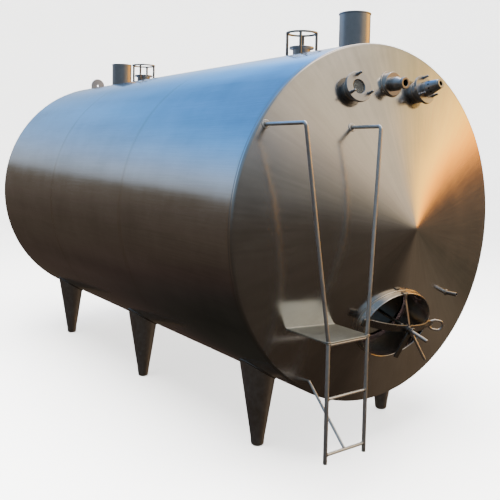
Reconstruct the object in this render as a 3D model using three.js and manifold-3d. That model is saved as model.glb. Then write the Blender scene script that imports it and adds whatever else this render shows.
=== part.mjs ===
// Horizontal insulated storage tank in stainless steel: a round barrel between two
// shallow conical heads, on six tapered legs. The front head carries an oval
// manhole, a sight glass, a lamp, a filling nozzle, a thermometer pocket and a short
// ladder with a platform; the crown carries two vents and two agitator stands.
//
// Millimetres, +Z up, +Y towards the rear head, +X to the right as seen from the front.
// The part's origin lies on the floor, below the middle of the overall length and width.

import * as THREE from "three";
import { mergeVertices } from "three/addons/utils/BufferGeometryUtils.js";
import Module from "manifold-3d";

// ---------------------------------------------------------------- driving dimensions

// Vessel. Inside the tank group the barrel's axis is the Y axis and y = 0 is the plane
// of the front rim.
const barrelRadius = 925;
const barrelLength = 3430;
const headRise = 260; // from the rim's plane to the apex of the cone
const wallThickness = 80; // inner vessel, insulation and jacket together
const undersideHeight = 275; // of the barrel above the floor
const courseCount = 3;
const headSkirt = 18; // cylindrical edge of a head, where it meets the barrel
const rimFillet = 10;
const gap = 0.3; // between two pieces that are welded or clamped together
const hullSides = 72; // facets round the barrel and the heads
const wideSides = 48; // facets round flanges and pads
const roundSides = 32; // round necks, housings and collars
const rodSides = 16; // round posts, rungs and studs
const thinSides = 8; // round small studs

// Legs
const legX = 474;
const legInset = 375; // from a rim's plane to the nearest leg
const legsPerSide = 3;
const legFootRadius = 33;
const legTopRadius = 101; // at legTopHeight
const legTopHeight = 433;
const footRounding = 12;

// Ladder, platform and handrails
const ladderInset = 181; // of its left post from the rim, at the platform's height
const ladderWidth = 236; // between the centre lines of its two posts
const ladderReach = 321; // centre line of the posts in front of the rim's plane
const postRadius = 9.5;
const postFootHeight = 202;
const rungRadius = 7;
const rungPitch = 250;
const lowestRungHeight = 243;
const plateThickness = 6;
const railRadius = 9;
const railTopDrop = 436; // of the handrails' top run below the crown
const railTopInset = 31; // of the left handrail's end from the rim
const railTopSpread = 448; // between the centre lines of the two handrails at the top
const railTopReach = 285;
const railBend = 34;
const railSteps = 40;
const braceRadius = 7;
const braceShift = 48; // of its upper end, to the right of the ladder's middle
const braceHeadRise = 197; // of its upper end over the barrel's underside

// Crown fittings
const ventRadius = 83;
const ventHeight = 185; // of its top above the crown
const ventLidThickness = 8;
const ventLidOverhang = 3;
const ventInset = 211; // from the front rim's plane
const rearVentInset = 332; // from the rear rim's plane
const standRadius = 94;
const standHeight = 142;
const standRingHeight = 16;
const standRingWidth = 10;
const standPostRadius = 8;
const standPostCount = 4;
const standInset = 648;
const rearStandInset = 752;
const collarRadius = 52;
const collarHeight = 58;
const collarClearance = 9; // between the collar's flange and the stand's posts
const collarFlangeThickness = 12;
const collarBore = 38;
const lugX = 105;
const lugInset = 52;
const lugWidth = 120;
const lugHeight = 78;
const lugThickness = 12;
const lugHoleRadius = 19;

// Round ports on the front head, each placed across the head and below the crown
const sightX = -262;
const sightDrop = 253;
const lampX = 206;
const lampDrop = 235;
const portFlangeRadius = 75;
const portFlangeThickness = 16;
const portNeckRadius = 56;
const portNeckBore = 44;
const portStandOff = 34; // from the head to the back of a port's flange
const paneThickness = 10;
const paneRebate = 4; // the pane's edge under the flange
const studCount = 3;
const studInset = 13; // of the studs from the flange's edge
const studRadius = 7;
const studReach = 34;
const studRoot = 2; // of a stud inside its flange
const lampBodyRadius = 39;
const lampTipRadius = 24;
const lampTipLength = 6;
const lampShoulder = 24; // of the housing's straight part in front of the flange
const lampLength = 96;
const lampBore = 12.5;
const lampBoreDepth = 30;

// Filling nozzle, on an axis parallel to the barrel's
const nozzleX = -6;
const nozzleDrop = 209;
const nozzlePadRadius = 61;
const nozzlePadReach = 14;
const nozzleBodyRadius = 35;
const nozzleNeckRadius = 22;
const nozzleUnionRadius = 30;
const nozzleUnionLength = 14;
const nozzleBore = 16.5;
const nozzleReach = 104;

// Thermometer pocket
const pocketX = 461;
const pocketRise = 533; // over the barrel's underside
const pocketRadius = 11;
const pocketBore = 6;
const pocketBoreDepth = 30;
const pocketReach = 70;

// Manhole, in a plane parallel to the head's slope
const manholeRise = 434; // of its middle over the barrel's underside
const manholeHalfWidth = 238; // of the opening
const manholeHalfHeight = 171;
const neckWall = 6;
const neckReach = 34; // of the lip in front of the head
const neckInside = 52; // behind the wall
const manholeSides = 48;
const gasketThickness = 8;
const gasketWidth = 22;
const doorThickness = 12;
const doorOverlap = 20; // of the door behind the neck's end
const studAxisRise = 16; // of the stud over the manhole's centre
const doorStudRadius = 9;
const yokeWidth = 38;
const yokeThickness = 14;
const yokeRise = 54; // of its middle over the lip
const yokeTurn = THREE.MathUtils.degToRad(-9);
const yokeFoot = 50; // length of the flat end that rests on the lip
const yokeOverhang = 30; // of its ends past the neck
const gripRadius = 6;
const gripWidth = 52;
const gripReach = 84;
const gripBend = 20;
const gripSteps = 30;
const gripLean = THREE.MathUtils.degToRad(20);
const strapWidth = 12;
const strapThickness = 4;
const clipWidth = 34;
const clipThickness = 5;
const clipDepth = 20; // behind the lip, outside the neck
const clipClearance = 1;
const hubRadius = 21;
const hubLength = 34;
const hubClearance = 0.5; // round the stud, and over the yoke
const leverWidth = 33;
const leverThickness = 9;
const leverLength = 152;
const leverAngle = THREE.MathUtils.degToRad(-24); // from straight down
const rodArmRadius = 7;
const rodArmLength = 215;
const rodArmAngle = THREE.MathUtils.degToRad(38);
const rodArmLift = 34; // of its end over its root, away from the head
const studTipReach = 92; // of the stud beyond the hub

// ---------------------------------------------------------------- derived places

const axisHeight = undersideHeight + barrelRadius;
const headSlope = Math.atan2(headRise, barrelRadius);
const coneDepth = (radius) => -headRise * (1 - radius / barrelRadius);

// Heights above the barrel's axis
const heightInTank = (height) => height - axisHeight;
const underside = -barrelRadius;
const platformZ = heightInTank(lowestRungHeight + 2 * rungPitch);
const sightZ = barrelRadius - sightDrop;
const lampZ = barrelRadius - lampDrop;
const nozzleZ = barrelRadius - nozzleDrop;
const pocketZ = underside + pocketRise;
const manholeZ = underside + manholeRise;
const railTopZ = barrelRadius - railTopDrop;

// Distances across, from the middle to where the rim stands at a height
const across = (radius, z) => Math.sqrt(radius ** 2 - z ** 2);
const ladderLeft = ladderInset - across(barrelRadius, platformZ);
const ladderX = ladderLeft + ladderWidth / 2;
const railTopLeft = -across(barrelRadius - railTopInset, railTopZ);

// Heights in the manhole's own plane, from the head outwards
const lipPlane = neckReach + gap;
const yokeTop = lipPlane + yokeRise + yokeThickness;
const hubRoot = yokeTop + hubClearance;
const hubTop = hubRoot + hubLength;
const studTip = hubTop + studTipReach;

// The origin is at the middle of the length from the foremost piece to the rear apex.
const ladderFront = ladderReach + postRadius;
const studFront =
  -coneDepth(Math.abs(manholeZ)) +
  studTip * Math.cos(headSlope) +
  (studAxisRise + doorStudRadius) * Math.sin(headSlope);
const overallFront = Math.max(ladderFront, studFront);
const midLength = (barrelLength + headRise - overallFront) / 2;

// ---------------------------------------------------------------- booleans

const wasm = await Module();
wasm.setup();

function solid(geometry) {
  const bare = geometry.clone();
  bare.deleteAttribute("normal");
  bare.deleteAttribute("uv");
  const shared = mergeVertices(bare, 1e-3);
  return new wasm.Manifold(
    new wasm.Mesh({
      numProp: 3,
      vertProperties: new Float32Array(shared.attributes.position.array),
      triVerts: new Uint32Array(shared.index.array),
    }),
  );
}

function geometryOf(made) {
  const mesh = made.getMesh();
  const geometry = new THREE.BufferGeometry();
  geometry.setAttribute("position", new THREE.BufferAttribute(mesh.vertProperties, 3));
  geometry.setIndex(new THREE.BufferAttribute(mesh.triVerts, 1));
  geometry.computeVertexNormals();
  return geometry;
}

function joined(...geometries) {
  return geometries.map(solid).reduce((all, next) => all.add(next));
}

// ---------------------------------------------------------------- shapes

const UP = new THREE.Vector3(0, 1, 0);
const point = (x, y, z) => new THREE.Vector3(x, y, z);

// A profile of [radius, height] points turned about the Y axis. It starts and ends on
// the axis, or else it is closed here into a ring.
function turned(profile, sides) {
  const points = profile.map(([r, y]) => new THREE.Vector2(r, y));
  const onAxis = profile[0][0] === 0 && profile[profile.length - 1][0] === 0;
  if (!onAxis) points.push(points[0].clone());
  return new THREE.LatheGeometry(points, sides);
}

// The same, standing up along Z.
function turnedUpright(profile, sides) {
  return turned(profile, sides).rotateX(Math.PI / 2);
}

function disc(radius, from, to) {
  return [
    [0, from],
    [radius, from],
    [radius, to],
    [0, to],
  ];
}

function ringProfile(inner, outer, from, to) {
  return [
    [inner, from],
    [outer, from],
    [outer, to],
    [inner, to],
  ];
}

function rod(from, to, radius, sides = rodSides) {
  const along = to.clone().sub(from);
  const middle = from.clone().add(to).multiplyScalar(0.5);
  const turn = new THREE.Quaternion().setFromUnitVectors(UP, along.clone().normalize());
  return new THREE.CylinderGeometry(radius, radius, along.length(), sides)
    .applyQuaternion(turn)
    .translate(middle.x, middle.y, middle.z);
}

// A round bar along straight runs that meet in bends of one radius.
function bentRod(corners, bend, radius, steps) {
  const path = new THREE.CurvePath();
  let start = corners[0];
  for (let i = 1; i < corners.length - 1; i++) {
    const corner = corners[i];
    const back = start.clone().sub(corner).setLength(bend).add(corner);
    const ahead = corners[i + 1].clone().sub(corner).setLength(bend).add(corner);
    path.add(new THREE.LineCurve3(start, back));
    path.add(new THREE.QuadraticBezierCurve3(back, corner, ahead));
    start = ahead;
  }
  path.add(new THREE.LineCurve3(start, corners[corners.length - 1]));
  const section = new THREE.Shape();
  section.absarc(0, 0, radius, 0, 2 * Math.PI);
  return new THREE.ExtrudeGeometry(section, {
    curveSegments: thinSides / 2,
    steps,
    extrudePath: path,
  });
}

function ellipseOutline(halfWidth, halfHeight) {
  const outline = new THREE.Shape();
  outline.absellipse(0, 0, halfWidth, halfHeight, 0, 2 * Math.PI);
  return outline;
}

// A flat piece with a straight edge all round, from z = low to z = high.
function plate(outline, low, high, curveSegments) {
  const settings = { depth: high - low, bevelEnabled: false, curveSegments };
  return new THREE.ExtrudeGeometry(outline, settings).translate(0, 0, low);
}

function box(low, high) {
  const size = high.clone().sub(low);
  const middle = low.clone().add(high).multiplyScalar(0.5);
  return new THREE.BoxGeometry(size.x, size.y, size.z).translate(middle.x, middle.y, middle.z);
}

// ---------------------------------------------------------------- finishes

const finish = (color, roughness, metalness = 1) => ({ color, roughness, metalness });
const jacketSteel = finish(0xb9bcbf, 0.32);
const headSteel = finish(0xaaa69f, 0.28);
const frameSteel = finish(0x9c9a95, 0.35);
const darkSteel = finish(0x6b655d, 0.42);
const polishedSteel = finish(0xc9c6c0, 0.2);
const gasketRubber = finish(0x1c1b1a, 0.8, 0);
const clearGlass = finish(0x1e2422, 0.08, 0);

const part = new THREE.Group();
const tank = new THREE.Group();
tank.position.set(0, -midLength, axisHeight);
part.add(tank);

function add(name, shape, look, group = tank) {
  const geometry = shape.isBufferGeometry ? shape : geometryOf(shape);
  const mesh = new THREE.Mesh(geometry, new THREE.MeshStandardMaterial(look));
  mesh.name = name;
  group.add(mesh);
  return mesh;
}

// ---------------------------------------------------------------- barrel and heads

const innerApex = -headRise + wallThickness / Math.cos(headSlope);
const innerEdge = (barrelRadius * (headSkirt - innerApex)) / headRise;

// Outer surface of a head from the apex to its rim, with a small rounded edge.
function headOutline(offset) {
  const radius = barrelRadius + offset;
  const apex = -headRise - offset / Math.cos(headSlope);
  const points = [[0, apex]];
  const edge = (radius - rimFillet) / radius;
  points.push([radius * edge, apex * (1 - edge)]);
  points.push([radius - (1 - Math.SQRT1_2) * rimFillet, (1 - Math.SQRT1_2) * rimFillet]);
  points.push([radius, rimFillet]);
  return points;
}

function headShell() {
  return turned(
    [...headOutline(0), [barrelRadius, headSkirt], [innerEdge, headSkirt], [0, innerApex]],
    hullSides,
  );
}

// What the head and the barrel take up, with the welding gap, for cutting the pieces
// that are fixed to them.
const headFilled = turned(
  [...headOutline(gap), [barrelRadius + gap, 2 * headSkirt], [0, 2 * headSkirt]],
  hullSides,
);
const headSpace = solid(headFilled);
const barrelSpace = solid(turned(disc(barrelRadius + gap, 0, barrelLength), hullSides));

const barrelFrom = headSkirt + gap;
const courseLength = (barrelLength - 2 * barrelFrom + gap) / courseCount - gap;
["front", "middle", "rear"].forEach((place, i) => {
  const from = barrelFrom + i * (courseLength + gap);
  const profile = ringProfile(barrelRadius - wallThickness, barrelRadius, from, from + courseLength);
  add("barrel_" + place + "_course", turned(profile, hullSides), jacketSteel);
});

// A group whose Z axis points straight out of the front head at (x, z), with X level.
function headSeat(x, z) {
  const outward = point(x, 0, z).setLength(Math.sin(headSlope)).setY(-Math.cos(headSlope));
  const level = point(0, 0, 1).cross(outward).negate();
  if (level.x < 0) level.negate();
  level.normalize();
  const upward = outward.clone().cross(level);
  const seat = new THREE.Group();
  seat.setRotationFromMatrix(new THREE.Matrix4().makeBasis(level, upward, outward));
  seat.position.set(x, coneDepth(Math.hypot(x, z)), z);
  seat.updateMatrix();
  tank.add(seat);
  return seat;
}

// A solid that is fixed in the tank, as one of the seat's own pieces sees it.
function seenFrom(seat, geometry) {
  return solid(geometry.clone().applyMatrix4(seat.matrix.clone().invert()));
}

function inTank(seat, geometry) {
  return solid(geometry.clone().applyMatrix4(seat.matrix));
}

const manhole = headSeat(0, manholeZ);
const sight = headSeat(sightX, sightZ);
const lamp = headSeat(lampX, lampZ);
const throughWall = 3 * wallThickness; // half the length of a cut through the head

const neckOuter = (margin) =>
  ellipseOutline(manholeHalfWidth + neckWall + margin, manholeHalfHeight + neckWall + margin);
const portHole = turnedUpright(disc(portNeckBore, -throughWall, throughWall), roundSides);
const nozzleHole = turned(disc(nozzleBore, -throughWall, throughWall), roundSides);
const holes = [
  inTank(manhole, plate(neckOuter(gap), -throughWall, throughWall, manholeSides / 2)),
  inTank(sight, portHole),
  inTank(lamp, portHole),
  solid(nozzleHole.translate(nozzleX, coneDepth(nozzleZ), nozzleZ)),
];
add(
  "front_head",
  holes.reduce((rest, hole) => rest.subtract(hole), solid(headShell())),
  headSteel,
);
add("rear_head", headShell().rotateZ(Math.PI).translate(0, barrelLength, 0), headSteel);

// ---------------------------------------------------------------- legs

const legGrowth = (legTopRadius - legFootRadius) / legTopHeight;
const footCut = (1 - Math.SQRT1_2) * footRounding;
const legProfile = [
  [0, 0],
  [legFootRadius - footRounding, 0],
  [legFootRadius - footCut, footCut],
  [legFootRadius, footRounding],
  [legFootRadius + legGrowth * (axisHeight - footRounding), axisHeight],
  [0, axisHeight],
];
const legPitch = (barrelLength - 2 * legInset) / (legsPerSide - 1);
for (const [side, sign] of [
  ["left", -1],
  ["right", 1],
]) {
  ["front", "middle", "rear"].forEach((place, i) => {
    const leg = turnedUpright(legProfile, roundSides).translate(
      sign * legX,
      legInset + i * legPitch,
      -axisHeight,
    );
    add("leg_" + side + "_" + place, solid(leg).subtract(barrelSpace), frameSteel);
  });
}

// ---------------------------------------------------------------- ladder and platform

const postX = { left: ladderLeft, right: ladderLeft + ladderWidth };
const plateTop = platformZ + plateThickness / 2;
const plateUnder = plateTop - plateThickness;

for (const side of ["left", "right"]) {
  const foot = point(postX[side], -ladderReach, heightInTank(postFootHeight));
  const top = point(postX[side], -ladderReach, plateUnder - gap);
  add("ladder_post_" + side, rod(foot, top, postRadius), frameSteel);
}

const postsSpace = joined(
  ...["left", "right"].map((side) =>
    rod(
      point(postX[side], -ladderReach, heightInTank(0)),
      point(postX[side], -ladderReach, plateUnder),
      postRadius + gap,
    ),
  ),
);

function betweenPosts(z) {
  const left = point(postX.left, -ladderReach, z);
  const right = point(postX.right, -ladderReach, z);
  return solid(rod(left, right, rungRadius)).subtract(postsSpace);
}
add("platform_front_bar", betweenPosts(plateUnder - gap - rungRadius), frameSteel);
add("ladder_rung_upper", betweenPosts(heightInTank(lowestRungHeight + rungPitch)), frameSteel);
add("ladder_rung_lower", betweenPosts(heightInTank(lowestRungHeight)), frameSteel);

const plateEdge = ladderWidth / 2 + postRadius;
const plateBox = box(
  point(ladderX - plateEdge, -ladderReach - postRadius, plateUnder),
  point(ladderX + plateEdge, headSkirt, plateTop),
);
add("platform_plate", solid(plateBox).subtract(headSpace), frameSteel);

const railTopPlace = { left: railTopLeft, right: railTopLeft + railTopSpread };
for (const side of ["left", "right"]) {
  const corners = [
    point(postX[side], -ladderReach, plateTop + gap - railRadius),
    point(railTopPlace[side], -railTopReach, railTopZ),
    point(railTopPlace[side], headSkirt, railTopZ),
  ];
  const belowPlate = box(
    point(postX[side] - ladderWidth, -2 * ladderReach, plateUnder - ladderWidth),
    point(postX[side] + ladderWidth, headSkirt, plateTop + gap),
  );
  const rail = solid(bentRod(corners, railBend, railRadius, railSteps));
  add("handrail_" + side, rail.subtract(headSpace).subtract(solid(belowPlate)), frameSteel);
}

const braceFoot = point(ladderX, -ladderReach, heightInTank(lowestRungHeight));
const braceHead = point(ladderX + braceShift, headSkirt, underside + braceHeadRise);
const rungSpace = solid(
  rod(
    point(postX.left, -ladderReach, heightInTank(lowestRungHeight)),
    point(postX.right, -ladderReach, heightInTank(lowestRungHeight)),
    rungRadius + gap,
  ),
);
const brace = solid(rod(braceFoot, braceHead, braceRadius)).subtract(headSpace).subtract(rungSpace);
add("ladder_brace", largest(brace), frameSteel);

// The piece that is left of a bar once what it meets is cut away.
function largest(made) {
  return made.decompose().reduce((best, next) => (next.volume() > best.volume() ? next : best));
}

// ---------------------------------------------------------------- crown fittings

function onCrown(profile, sides, y) {
  return turnedUpright(profile, sides).translate(0, y, 0);
}

const ventTop = barrelRadius + ventHeight;
const lidUnder = ventTop - ventLidThickness;
for (const [place, y] of [
  ["front", ventInset],
  ["rear", barrelLength - rearVentInset],
]) {
  const pipe = onCrown(disc(ventRadius, 0, lidUnder - gap), wideSides, y);
  const lid = onCrown(disc(ventRadius + ventLidOverhang, lidUnder, ventTop), wideSides, y);
  add("vent_" + place + "_body", solid(pipe).subtract(barrelSpace), darkSteel);
  add("vent_" + place + "_lid", lid, darkSteel);
}

const standTop = barrelRadius + standHeight;
const postCircle = standRadius - standRingWidth / 2;
const collarFlangeRadius = postCircle - standPostRadius - collarClearance;
for (const [place, y] of [
  ["front", standInset],
  ["rear", barrelLength - rearStandInset],
]) {
  const ring = onCrown(
    ringProfile(standRadius - standRingWidth, standRadius, standTop - standRingHeight, standTop),
    wideSides,
    y,
  );
  let stand = solid(ring);
  for (let i = 0; i < standPostCount; i++) {
    const angle = ((i + 0.5) * 2 * Math.PI) / standPostCount;
    const foot = point(postCircle * Math.cos(angle), y + postCircle * Math.sin(angle), 0);
    const head = foot.clone().setZ(standTop - standRingHeight / 2);
    const post = solid(rod(foot, head, standPostRadius)).subtract(barrelSpace);
    stand = stand.add(post);
  }
  add("agitator_stand_" + place, stand, frameSteel);

  const flangeTop = barrelRadius + collarHeight;
  const flangeUnder = flangeTop - collarFlangeThickness;
  const outline = [
    [collarBore, 0],
    [collarRadius, 0],
    [collarRadius, flangeUnder],
    [collarFlangeRadius, flangeUnder],
    [collarFlangeRadius, flangeTop],
    [collarBore, flangeTop],
  ];
  const collar = solid(onCrown(outline, roundSides, y));
  add("agitator_collar_" + place, collar.subtract(barrelSpace), darkSteel);
}

for (const [side, sign] of [
  ["left", -1],
  ["right", 1],
]) {
  const outline = new THREE.Shape();
  outline.moveTo(-lugWidth / 2, -lugHeight);
  outline.lineTo(lugWidth / 2, -lugHeight);
  outline.lineTo(lugWidth / 2, 0);
  outline.absarc(0, 0, lugWidth / 2, 0, Math.PI);
  const eye = new THREE.Path();
  eye.absarc(0, 0, lugHoleRadius, 0, 2 * Math.PI, true);
  outline.holes.push(eye);
  const surface = across(barrelRadius, lugX);
  const lug = plate(outline, -lugThickness / 2, lugThickness / 2, roundSides / 2)
    .rotateX(Math.PI / 2)
    .translate(sign * lugX, barrelLength - lugInset, surface + lugHeight - lugWidth / 2);
  add("lifting_lug_" + side, solid(lug).subtract(barrelSpace), frameSteel);
}

// ---------------------------------------------------------------- ports

const studCircle = portFlangeRadius - studInset;
function portStuds(flangeTop) {
  const studs = [];
  for (let i = 0; i < studCount; i++) {
    const angle = Math.PI / 2 + (i * 2 * Math.PI) / studCount;
    const x = studCircle * Math.cos(angle);
    const y = studCircle * Math.sin(angle);
    const root = point(x, y, flangeTop - studRoot);
    const tip = point(x, y, flangeTop + studReach);
    studs.push(rod(root, tip, studRadius, thinSides));
  }
  return studs;
}

const flangeBack = portStandOff;
const flangeFace = flangeBack + portFlangeThickness;

for (const [name, seat, bore] of [
  ["sight_glass", sight, portNeckBore - paneRebate],
  ["lamp", lamp, lampBodyRadius + gap],
]) {
  const neck = turnedUpright(
    ringProfile(portNeckBore, portNeckRadius, -headSkirt, flangeBack - gap),
    roundSides,
  );
  add(name + "_neck", solid(neck).subtract(seenFrom(seat, headFilled)), headSteel, seat);
  const seatDepth = name === "lamp" ? 0 : paneThickness + gap;
  const ring = [
    [portNeckBore, flangeBack],
    [portFlangeRadius, flangeBack],
    [portFlangeRadius, flangeFace],
    [bore, flangeFace],
    [bore, flangeBack + seatDepth],
    [portNeckBore, flangeBack + seatDepth],
  ];
  const plain = ringProfile(bore, portFlangeRadius, flangeBack, flangeFace);
  const flange = turnedUpright(name === "lamp" ? plain : ring, wideSides);
  add(name + "_flange", joined(flange, ...portStuds(flangeFace)), darkSteel, seat);
}
const pane = turnedUpright(
  disc(portNeckBore - gap, flangeBack, flangeBack + paneThickness),
  roundSides,
);
add("sight_glass_pane", pane, clearGlass, sight);

const lampRoot = flangeBack + gap;
const lampEnd = flangeFace + lampLength;
const lampProfile = [
  [0, lampRoot],
  [lampBodyRadius, lampRoot],
  [lampBodyRadius, flangeFace + lampShoulder],
  [lampTipRadius, lampEnd - lampTipLength],
  [lampTipRadius, lampEnd],
  [lampBore, lampEnd],
  [lampBore, lampEnd - lampBoreDepth],
  [0, lampEnd - lampBoreDepth],
];
add("lamp_housing", turnedUpright(lampProfile, roundSides), darkSteel, lamp);

// The nozzle is turned about its own axis, which runs along the barrel.
const nozzleRoot = coneDepth(nozzleZ);
const lowSide = -Math.tan(headSlope) * nozzlePadRadius;
const padFace = nozzleRoot + lowSide - nozzlePadReach;
const turnedForward = (profile, sides) =>
  turned(profile, sides).rotateZ(Math.PI).translate(nozzleX, 0, nozzleZ);
const pad = turnedForward(
  ringProfile(nozzleBodyRadius + gap, nozzlePadRadius, -headSkirt, -padFace),
  wideSides,
);
add("nozzle_pad", solid(pad).subtract(headSpace), headSteel);
const mouth = -nozzleRoot + nozzleReach;
const nozzleProfile = [
  [nozzleBore, -headSkirt],
  [nozzleBodyRadius, -headSkirt],
  [nozzleBodyRadius, mouth - nozzleReach / 2],
  [nozzleNeckRadius, mouth - nozzleReach / 4],
  [nozzleNeckRadius, mouth - nozzleUnionLength],
  [nozzleUnionRadius, mouth - nozzleUnionLength],
  [nozzleUnionRadius, mouth],
  [nozzleBore, mouth],
];
const nozzle = turnedForward(nozzleProfile, roundSides);
add("nozzle_body", solid(nozzle).subtract(headSpace), darkSteel);

const pocketMouth = coneDepth(Math.hypot(pocketX, pocketZ)) - pocketReach;
const pocketOutline = [
  [0, pocketMouth + pocketBoreDepth],
  [pocketBore, pocketMouth + pocketBoreDepth],
  [pocketBore, pocketMouth],
  [pocketRadius, pocketMouth],
  [pocketRadius, headSkirt],
  [0, headSkirt],
];
const pocket = turned(pocketOutline, rodSides).translate(pocketX, 0, pocketZ);
add("thermometer_pocket", solid(pocket).subtract(headSpace), polishedSteel);

// ---------------------------------------------------------------- manhole

const neckEnd = -wallThickness - neckInside;
function ovalRing(inner, outer, low, high) {
  const outline = ellipseOutline(manholeHalfWidth + outer, manholeHalfHeight + outer);
  const hole = new THREE.Path();
  hole.absellipse(0, 0, manholeHalfWidth + inner, manholeHalfHeight + inner, 0, 2 * Math.PI, true);
  outline.holes.push(hole);
  return plate(outline, low, high, manholeSides / 2);
}
add("manhole_neck", ovalRing(0, neckWall, neckEnd, neckReach), polishedSteel, manhole);
const gasketFrom = neckEnd - gap - gasketThickness;
add(
  "manhole_gasket",
  ovalRing(neckWall - gasketWidth, neckWall, gasketFrom, neckEnd - gap),
  gasketRubber,
  manhole,
);

// The door closes from inside. Its stud runs out through the yoke and the hub.
const doorTop = gasketFrom - gap;
const doorOutline = ellipseOutline(manholeHalfWidth + doorOverlap, manholeHalfHeight + doorOverlap);
const doorStud = rod(
  point(0, studAxisRise, doorTop - doorThickness / 2),
  point(0, studAxisRise, studTip),
  doorStudRadius,
);
const doorPlate = plate(doorOutline, doorTop - doorThickness, doorTop, manholeSides / 2);
add("manhole_door", joined(doorPlate, doorStud), polishedSteel, manhole);

// The yoke is a flat bar bowed over the lip, drawn here on its edge: along the bar, up.
const yokeHalf = manholeHalfWidth + neckWall + yokeOverhang;
const yokeSpring = yokeHalf - yokeFoot; // where the bow leaves the flat ends
const yokeMiddle = lipPlane + yokeRise;
const footTop = lipPlane + yokeThickness;
const yokeOutline = new THREE.Shape();
yokeOutline.moveTo(-yokeHalf, lipPlane);
yokeOutline.lineTo(-yokeSpring, lipPlane);
yokeOutline.quadraticCurveTo(-yokeHalf / 2, yokeMiddle, 0, yokeMiddle);
yokeOutline.quadraticCurveTo(yokeHalf / 2, yokeMiddle, yokeSpring, lipPlane);
yokeOutline.lineTo(yokeHalf, lipPlane);
yokeOutline.lineTo(yokeHalf, footTop);
yokeOutline.lineTo(yokeSpring, footTop);
yokeOutline.quadraticCurveTo(yokeHalf / 2, yokeTop, 0, yokeTop);
yokeOutline.quadraticCurveTo(-yokeHalf / 2, yokeTop, -yokeSpring, footTop);
yokeOutline.lineTo(-yokeHalf, footTop);
yokeOutline.closePath();
const placeYoke = (geometry) => geometry.rotateZ(yokeTurn).translate(0, studAxisRise, 0);
const bowedBar = (width) =>
  placeYoke(plate(yokeOutline, -width / 2, width / 2, thinSides).rotateX(Math.PI / 2));
const yokeBar = bowedBar(yokeWidth);
const yokeSpace = solid(bowedBar(yokeWidth + 2 * gap));
const studFrom = point(0, studAxisRise, 0);
const studTo = point(0, studAxisRise, studTip);
const studHole = solid(rod(studFrom, studTo, doorStudRadius + gap));

const gripOut = point(Math.cos(gripLean), 0, Math.sin(gripLean)).multiplyScalar(gripReach);
const gripRoot = point(yokeHalf - yokeFoot / 2, 0, lipPlane + yokeThickness / 2);
const gripWaist = 0.3; // share of the reach at which the grip has its full width
const gripCorner = (sign, share) =>
  gripRoot
    .clone()
    .addScaledVector(gripOut, share)
    .add(point(0, (sign * gripWidth) / 2, 0));
const gripBar = bentRod(
  [
    gripRoot.clone().add(point(0, -gripWidth / 4, 0)),
    gripCorner(-1, gripWaist),
    gripCorner(-1, 1),
    gripCorner(1, 1),
    gripCorner(1, gripWaist),
    gripRoot.clone().add(point(0, gripWidth / 4, 0)),
  ],
  gripBend,
  gripRadius,
  gripSteps,
);
const yoke = solid(yokeBar).subtract(studHole).add(solid(placeYoke(gripBar)));
add("manhole_yoke", yoke, darkSteel, manhole);

// The hanger is a clip on top of the lip and a thin strap down to the yoke's middle.
const lipTop = manholeHalfHeight + neckWall;
const clipBackFrom = lipTop + clipClearance;
const clipFront = lipPlane + clipThickness;
const clipOver = box(
  point(-clipWidth / 2, manholeHalfHeight - clipThickness, lipPlane),
  point(clipWidth / 2, clipBackFrom + clipThickness, clipFront),
);
const clipBack = box(
  point(-clipWidth / 2, clipBackFrom, lipPlane - clipDepth),
  point(clipWidth / 2, clipBackFrom + clipThickness, clipFront),
);
const strapTop = point(0, manholeHalfHeight - clipThickness, lipPlane + clipThickness / 2);
const strapFoot = point(0, studAxisRise + yokeWidth / 3, yokeMiddle + yokeThickness / 2);
const strapLine = strapFoot.clone().sub(strapTop);
const strapTurn = new THREE.Quaternion().setFromUnitVectors(UP, strapLine.clone().normalize());
const strapMiddle = strapTop.clone().addScaledVector(strapLine, 0.5);
const strapBar = new THREE.BoxGeometry(strapWidth, strapLine.length(), strapThickness)
  .applyQuaternion(strapTurn)
  .translate(strapMiddle.x, strapMiddle.y, strapMiddle.z);
const hanger = joined(clipOver, clipBack, strapBar).subtract(yokeSpace);
add("manhole_hanger", largest(hanger), frameSteel, manhole);

// ---------------------------------------------------------------- manhole handle

const hubMiddle = (hubRoot + hubTop) / 2;
const armFrom = (angle, reach, lift) =>
  point(reach * Math.sin(angle), studAxisRise - reach * Math.cos(angle), hubMiddle + lift);
const hub = turnedUpright(disc(hubRadius, hubRoot, hubTop), roundSides).translate(
  0,
  studAxisRise,
  0,
);
const lever = new THREE.BoxGeometry(leverWidth, leverLength, leverThickness)
  .translate(0, -leverLength / 2, 0)
  .rotateZ(leverAngle)
  .translate(0, studAxisRise, hubMiddle);
const rodArm = rod(
  armFrom(rodArmAngle, 0, 0),
  armFrom(rodArmAngle, rodArmLength, rodArmLift),
  rodArmRadius,
);
const hubBore = solid(rod(studFrom, studTo, doorStudRadius + hubClearance));
const handle = joined(hub, lever, rodArm).subtract(hubBore);
add("manhole_handle", largest(handle), darkSteel, manhole);

export default part;
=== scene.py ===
import math
import bpy
import numpy as np
from mathutils import Matrix, Vector


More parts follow.
